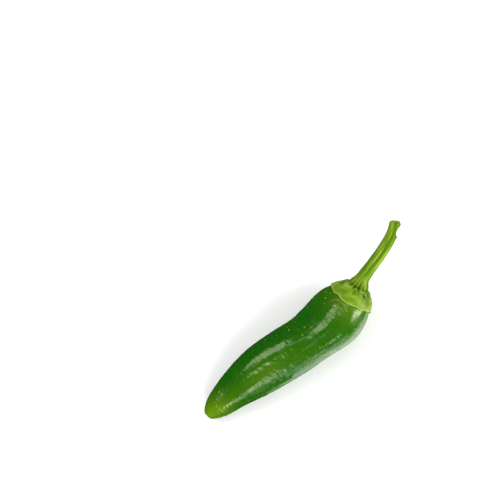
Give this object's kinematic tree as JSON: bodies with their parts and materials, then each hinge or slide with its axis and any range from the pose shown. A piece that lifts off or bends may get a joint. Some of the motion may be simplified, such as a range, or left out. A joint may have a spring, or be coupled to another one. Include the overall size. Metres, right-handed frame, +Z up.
{
  "type": "chilli pepper",
  "caption": "Whole green chilli pepper lying on its side: a tapering pod with a blunt tip, a thin calyx cap on its shoulder and a curved cut stem.",
  "frame": {"origin": "on the surface the pepper lies on, under the middle of its bounding box", "axes": "+X along the pod from its tip towards the stem, +Z up from the surface"},
  "size_m": [0.1212, 0.032, 0.0278],
  "materials": {
    "pod_skin": "gloss",
    "calyx_skin": "satin",
    "stem_skin": "satin"
  },
  "bodies": {
    "root": {"pod": "pod_skin", "calyx": "calyx_skin", "stem": "stem_skin"}
  },
  "joints": []
}
